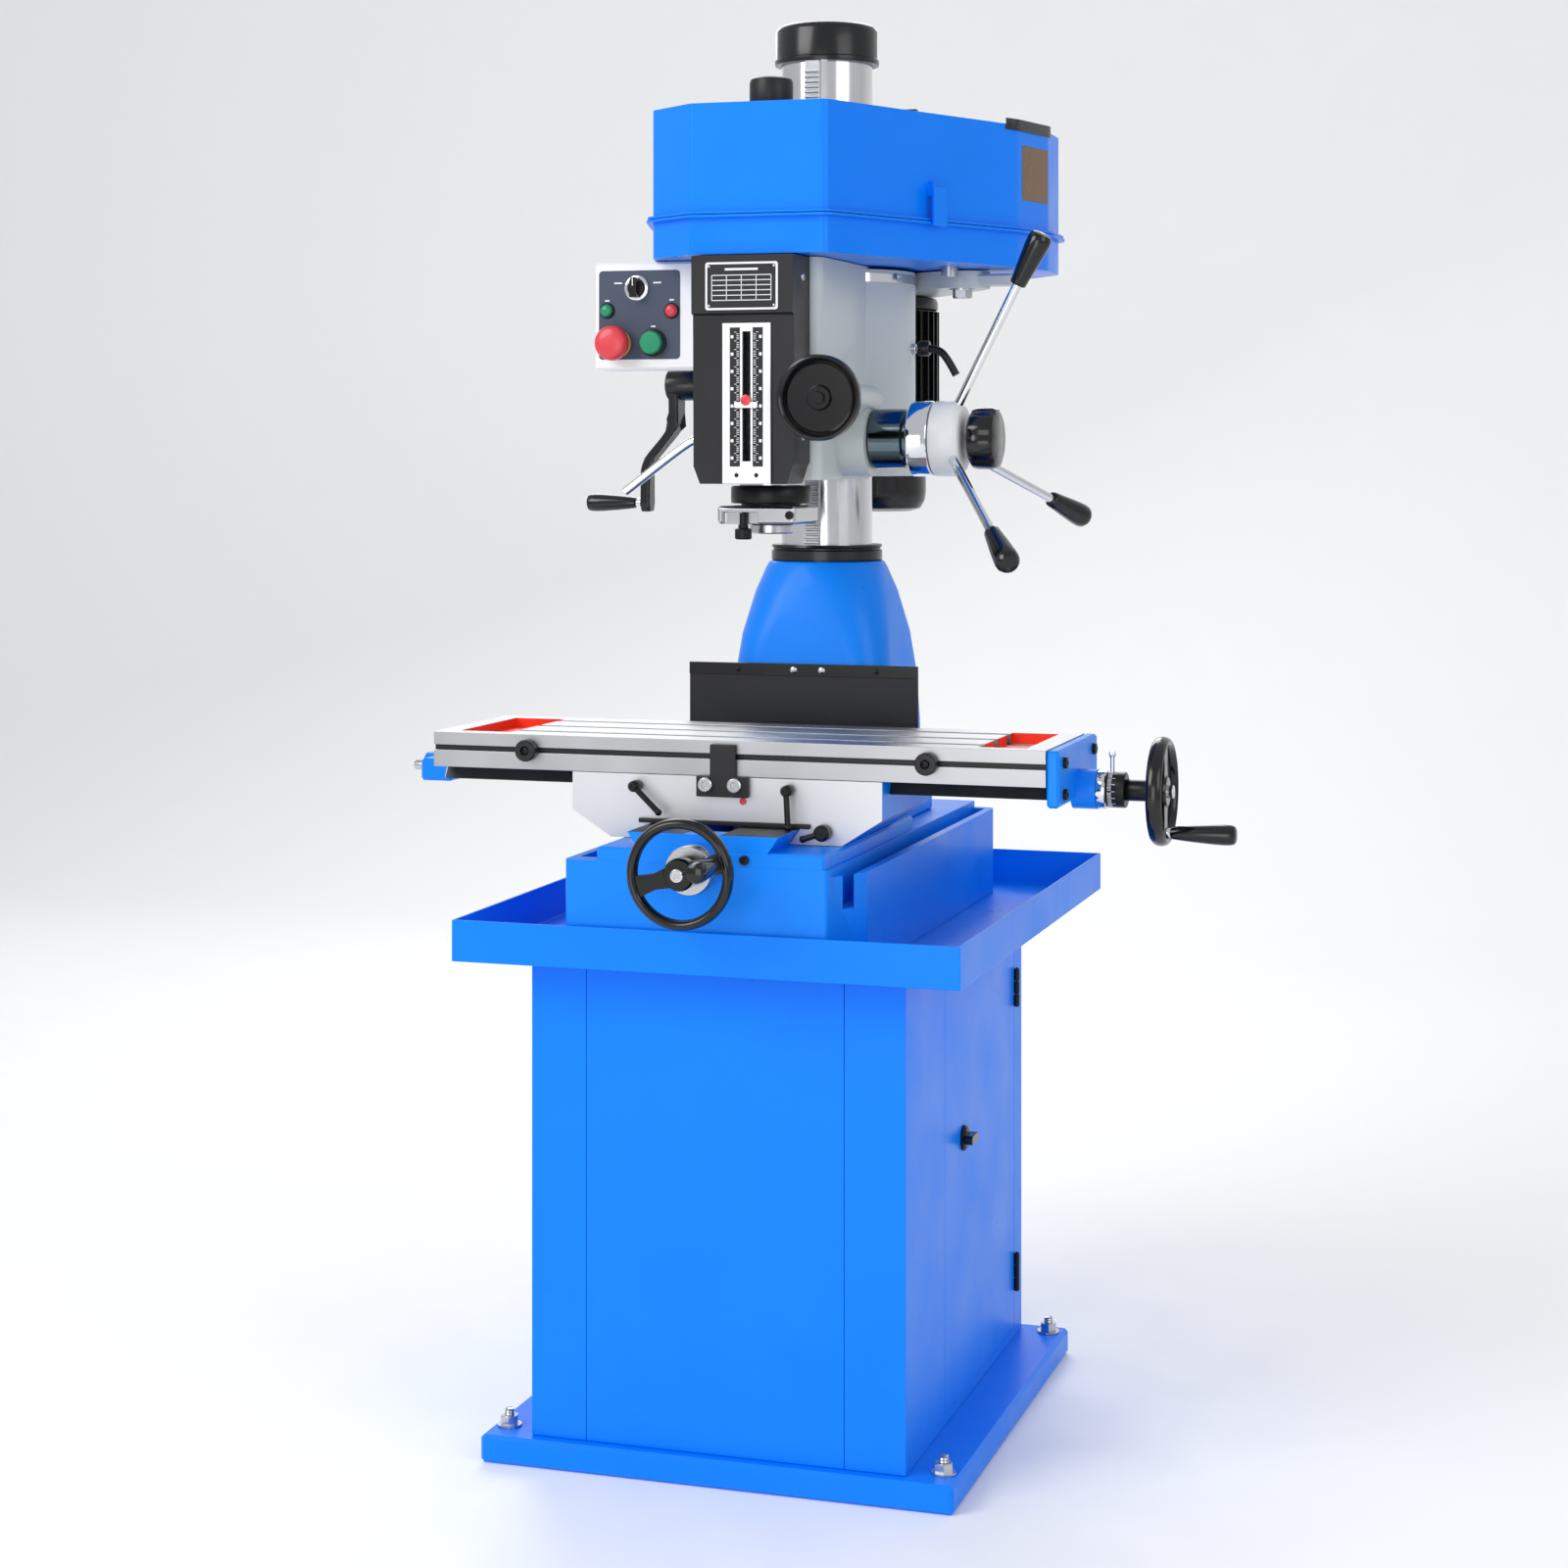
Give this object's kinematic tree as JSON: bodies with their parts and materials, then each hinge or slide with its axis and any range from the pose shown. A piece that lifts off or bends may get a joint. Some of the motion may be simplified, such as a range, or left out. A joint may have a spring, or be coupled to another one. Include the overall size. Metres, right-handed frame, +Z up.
{
  "type": "milling machine",
  "caption": "Round-column mill-drill on a cabinet stand: belt-driven head on a rack column, quill with feed levers, and a T-slot table on a cross slide",
  "frame": {"origin": "on the floor at the centre of the stand base", "axes": "+X to the operator's right, +Y from the front to the back, +Z up"},
  "size_m": [0.994, 0.9285, 1.6938],
  "materials": {
    "stand_paint": "gloss blue paint on folded sheet steel",
    "casting_paint": "blue paint on cast iron",
    "head_paint": "light grey paint on cast iron",
    "bright_iron": "ground cast iron",
    "bright_steel": "ground or turned steel",
    "chrome": "chrome plate",
    "black_steel": "black paint or oxide on steel",
    "black_plastic": "black moulded plastic",
    "white_sheet": "white paint on sheet steel",
    "red_plastic": "red plastic",
    "green_plastic": "green plastic",
    "pulley_metal": "cast aluminium",
    "belt_rubber": "matt rubber"
  },
  "bodies": {
    "stand": {"stand_base": "stand_paint", "stand_cabinet": "stand_paint", "stand_front_panel": "stand_paint", "chip_tray": "stand_paint", "machine_base": "casting_paint", "column_base": "casting_paint", "column": "bright_steel", "column_collar": "black_steel", "column_cap": "black_steel", "chip_guard": "black_steel"},
    "door": {"stand_door": "stand_paint"},
    "door_lock": {"door_lock": "black_steel"},
    "saddle": {"saddle": "bright_iron", "saddle_stop_bracket": "black_steel"},
    "cross_screw": {"cross_feed_screw": "bright_steel", "cross_feed_handwheel": "black_plastic"},
    "cross_grip": {"cross_feed_grip": "black_plastic"},
    "table_lock_left": {"table_lock_lever_left": "black_steel"},
    "table_lock_right": {"table_lock_lever_right": "black_steel"},
    "saddle_lock": {"saddle_lock_lever": "black_steel"},
    "table": {"table": "bright_iron", "table_bracket_left": "casting_paint", "table_bracket_right": "casting_paint"},
    "stop_left": {"table_stop_left": "black_steel"},
    "stop_right": {"table_stop_right": "black_steel"},
    "table_screw": {"table_leadscrew": "bright_steel", "table_handwheel": "black_plastic"},
    "table_grip": {"table_grip": "black_plastic"},
    "rack": {"column_rack": "bright_steel"},
    "head": {"head_casting": "head_paint", "head_front_cover": "black_plastic", "belt_pan": "stand_paint", "motor": "black_steel", "motor_plate": "head_paint", "electric_box": "white_sheet", "front_belt": "belt_rubber", "rear_belt": "belt_rubber"},
    "cover": {"belt_cover": "stand_paint"},
    "latch": {"cover_latch": "stand_paint"},
    "cap": {"spindle_cap": "black_plastic"},
    "spindle_pulley": {"spindle_pulley": "pulley_metal"},
    "idler": {"idler_pulley": "pulley_metal"},
    "motor_rotor": {"motor_pulley": "pulley_metal"},
    "quill": {"quill": "black_steel", "depth_clamp": "bright_steel"},
    "spindle": {"spindle": "bright_steel"},
    "pointer": {"depth_pointer": "red_plastic"},
    "feed": {"feed_hub": "chrome", "feed_lever_1": "black_steel", "feed_lever_2": "black_steel", "feed_lever_3": "black_steel"},
    "feed_knob": {"feed_knob": "black_plastic"},
    "fine_feed": {"fine_feed_wheel": "black_plastic"},
    "crank": {"head_crank": "black_steel"},
    "crank_grip": {"head_crank_grip": "black_plastic"},
    "column_clamp": {"column_clamp_lever": "black_steel"},
    "head_clamp": {"head_clamp_rod": "chrome"},
    "selector": {"selector_switch": "black_plastic"},
    "estop": {"estop_button": "red_plastic"},
    "start": {"start_button": "green_plastic"}
  },
  "joints": [
    {"name": "door_hinge", "type": "hinge", "parent": "stand", "child": "door", "pos_m": [0.2215, 0.24, 0.045], "axis": [0, 0, 1], "range_deg": [0, 100]},
    {"name": "door_lock_turn", "type": "hinge", "parent": "door", "child": "door_lock", "pos_m": [0.2215, -0.025, 0.3455], "axis": [1, 0, 0], "range_deg": [0, 90]},
    {"name": "saddle_travel", "type": "slide", "parent": "stand", "child": "saddle", "axis": [0, 1, 0], "range_m": [-0.072, 0.077]},
    {"name": "cross_feed_turn", "type": "hinge", "parent": "stand", "child": "cross_screw", "pos_m": [0, -0.4, 0.6995], "axis": [0, 1, 0], "range_deg": [-6480, 6930]},
    {"name": "cross_grip_spin", "type": "hinge", "parent": "cross_screw", "child": "cross_grip", "pos_m": [0.04399, -0.42, 0.71295], "axis": [0, 1, 0], "continuous": true},
    {"name": "table_lock_left_turn", "type": "hinge", "parent": "saddle", "child": "table_lock_left", "pos_m": [-0.1045, -0.2505, 0.7763], "axis": [0, 1, 0], "range_deg": [-60, 30]},
    {"name": "table_lock_right_turn", "type": "hinge", "parent": "saddle", "child": "table_lock_right", "pos_m": [0.0775, -0.2505, 0.7772], "axis": [0, 1, 0], "range_deg": [-45, 60]},
    {"name": "saddle_lock_turn", "type": "hinge", "parent": "saddle", "child": "saddle_lock", "pos_m": [0.118, -0.2505, 0.731], "axis": [0, 1, 0], "range_deg": [0, 60]},
    {"name": "table_travel", "type": "slide", "parent": "saddle", "child": "table", "axis": [1, 0, 0], "range_m": [-0.168, 0.158]},
    {"name": "table_feed_turn", "type": "hinge", "parent": "table", "child": "table_screw", "pos_m": [0.48, -0.14555, 0.778], "axis": [1, 0, 0], "range_deg": [-15120, 14220]},
    {"name": "table_grip_spin", "type": "hinge", "parent": "table_screw", "child": "table_grip", "pos_m": [0.5, -0.14555, 0.732], "axis": [1, 0, 0], "continuous": true},
    {"name": "stop_left_slide", "type": "slide", "parent": "table", "child": "stop_left", "axis": [1, 0, 0], "range_m": [-0.09, 0.2]},
    {"name": "stop_right_slide", "type": "slide", "parent": "table", "child": "stop_right", "axis": [1, 0, 0], "range_m": [-0.2, 0.09]},
    {"name": "head_swivel", "type": "hinge", "parent": "stand", "child": "rack", "pos_m": [0, 0.151, 1.0405], "axis": [0, 0, 1], "range_deg": [-180, 180]},
    {"name": "head_lift", "type": "slide", "parent": "rack", "child": "head", "axis": [0, 0, 1], "range_m": [-0.078, 0.17]},
    {"name": "head_crank_turn", "type": "hinge", "parent": "head", "child": "crank", "pos_m": [-0.1877, 0.151, 1.2426], "axis": [1, 0, 0], "range_deg": [-5616, 12240]},
    {"name": "crank_grip_spin", "type": "hinge", "parent": "crank", "child": "crank_grip", "pos_m": [-0.2577, 0.151, 1.0911], "axis": [1, 0, 0], "continuous": true},
    {"name": "column_clamp_turn", "type": "hinge", "parent": "head", "child": "column_clamp", "pos_m": [0.1065, 0.2, 1.288], "axis": [1, 0, 0], "range_deg": [-60, 30]},
    {"name": "head_clamp_turn", "type": "hinge", "parent": "head", "child": "head_clamp", "pos_m": [-0.077, -0.04, 1.173], "axis": [1, 0, 0], "range_deg": [-30, 90]},
    {"name": "quill_feed", "type": "slide", "parent": "head", "child": "quill", "axis": [0, 0, -1], "range_m": [0, 0.127], "stiffness_N_per_m": 400, "springref_m": -0.25},
    {"name": "feed_turn", "type": "hinge", "parent": "head", "child": "feed", "pos_m": [0.1625, -0.0245, 1.1725], "axis": [1, 0, 0], "range_deg": [0, 454.8]},
    {"name": "feed_knob_turn", "type": "hinge", "parent": "feed", "child": "feed_knob", "pos_m": [0.231, -0.0245, 1.1725], "axis": [1, 0, 0], "range_deg": [0, 360]},
    {"name": "fine_feed_turn", "type": "hinge", "parent": "head", "child": "fine_feed", "pos_m": [0.096, -0.2, 1.2186], "axis": [0, 1, 0], "continuous": true},
    {"name": "depth_stop_set", "type": "slide", "parent": "head", "child": "pointer", "axis": [0, 0, 1], "range_m": [-0.066, 0.078]},
    {"name": "spindle_spin", "type": "hinge", "parent": "quill", "child": "spindle", "pos_m": [0, -0.078, 1.06], "axis": [0, 0, 1], "continuous": true},
    {"name": "spindle_pulley_spin", "type": "hinge", "parent": "head", "child": "spindle_pulley", "pos_m": [0, -0.078, 1.398], "axis": [0, 0, 1], "continuous": true},
    {"name": "idler_spin", "type": "hinge", "parent": "head", "child": "idler", "pos_m": [0.165, 0.13, 1.398], "axis": [0, 0, 1], "continuous": true},
    {"name": "motor_spin", "type": "hinge", "parent": "head", "child": "motor_rotor", "pos_m": [0.01, 0.352, 1.398], "axis": [0, 0, 1], "continuous": true},
    {"name": "cover_lift", "type": "slide", "parent": "head", "child": "cover", "axis": [0, 0, 1], "range_m": [0, 0.13]},
    {"name": "latch_turn", "type": "hinge", "parent": "cover", "child": "latch", "pos_m": [0.18763, -0.00556, 1.471], "axis": [0.4135, 0.9105, 0], "range_deg": [-70, 0]},
    {"name": "spindle_cap_lift", "type": "slide", "parent": "cover", "child": "cap", "axis": [0, 0, 1], "range_m": [0, 0.05]},
    {"name": "selector_turn", "type": "hinge", "parent": "head", "child": "selector", "pos_m": [-0.166, -0.0905, 1.354], "axis": [0, 1, 0], "range_deg": [-45, 45]},
    {"name": "estop_push", "type": "slide", "parent": "head", "child": "estop", "axis": [0, 1, 0], "range_m": [0, 0.005], "stiffness_N_per_m": 800, "springref_m": -0.004},
    {"name": "start_push", "type": "slide", "parent": "head", "child": "start", "axis": [0, 1, 0], "range_m": [0, 0.004], "stiffness_N_per_m": 600, "springref_m": -0.003}
  ],
  "couplings": [
    {"joint": "cross_feed_turn", "follows": "saddle_travel", "rad_per_m": 1570.8},
    {"joint": "table_feed_turn", "follows": "table_travel", "rad_per_m": 1570.8},
    {"joint": "head_crank_turn", "follows": "head_lift", "rad_per_m": 1256.6},
    {"joint": "feed_turn", "follows": "quill_feed", "rad_per_m": 62.5},
    {"joint": "idler_spin", "follows": "motor_spin", "ratio": 0.86364},
    {"joint": "spindle_pulley_spin", "follows": "motor_spin", "ratio": 0.74587},
    {"joint": "spindle_spin", "follows": "motor_spin", "ratio": 0.74587}
  ]
}
